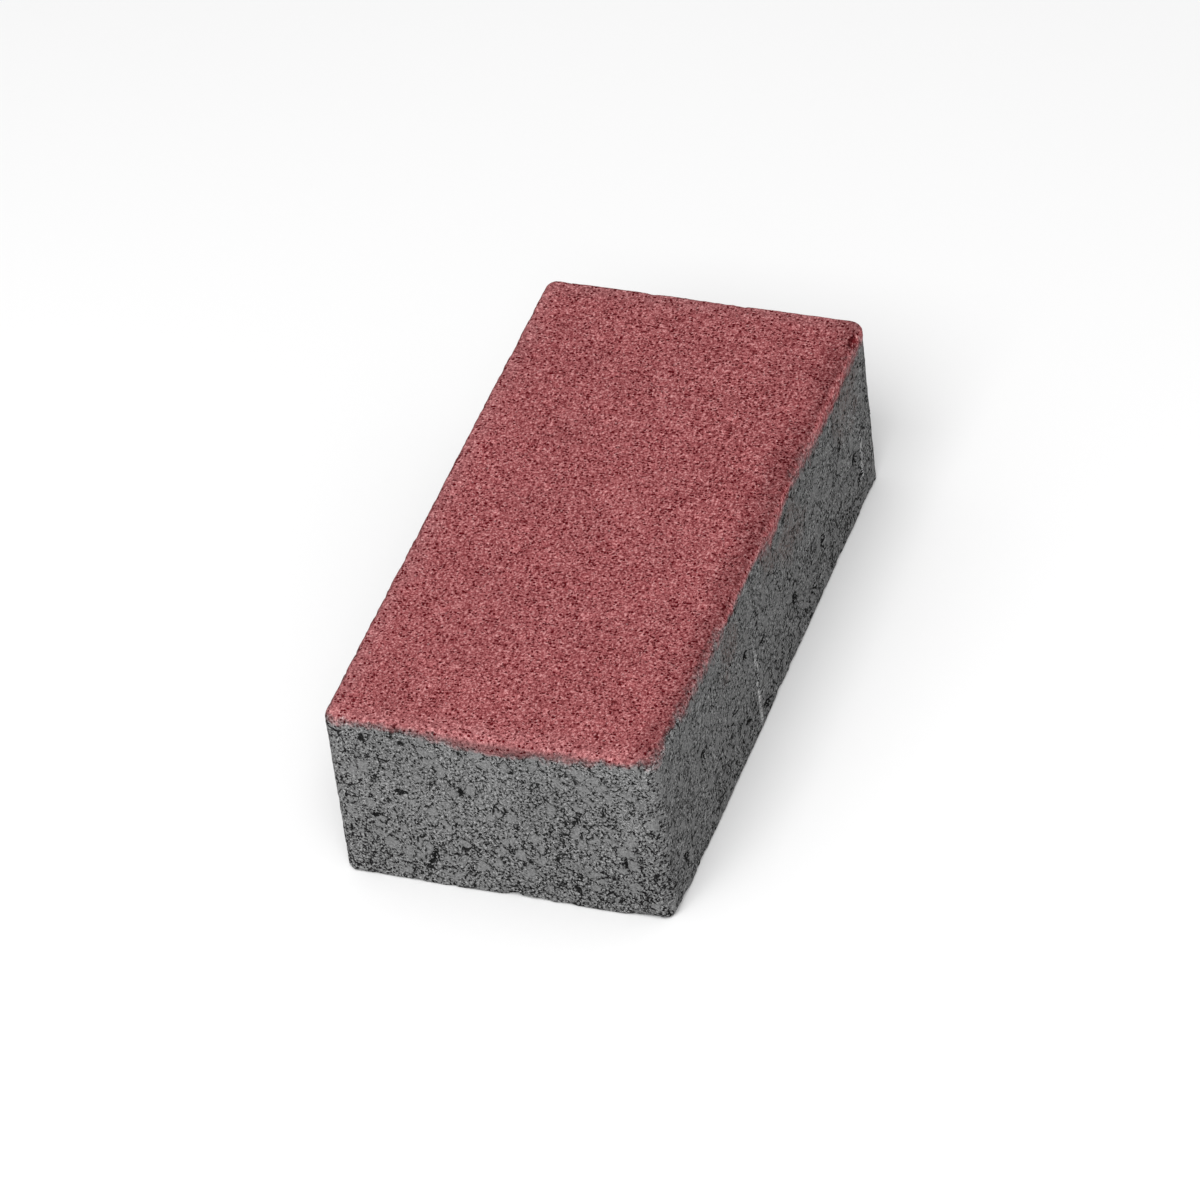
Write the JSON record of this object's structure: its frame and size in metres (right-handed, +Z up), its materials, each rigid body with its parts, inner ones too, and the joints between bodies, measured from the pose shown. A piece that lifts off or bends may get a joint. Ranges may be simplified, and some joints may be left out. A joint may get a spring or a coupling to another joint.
{
  "type": "concrete paving stone",
  "caption": "Rectangular concrete paving stone, pressed in one piece with a grey backing and a thin red facing as its wearing surface.",
  "frame": {"origin": "middle of the bed face, which is the underside that lies on the floor or on the laying course", "axes": "+X along the long side, +Y along the short side, +Z up, out of the red wearing surface"},
  "size_m": [0.2, 0.1, 0.06],
  "materials": {
    "grey_concrete": "matte",
    "red_concrete": "matte"
  },
  "bodies": {
    "root": {"concrete_backing": "grey_concrete", "red_facing": "red_concrete"}
  },
  "joints": []
}
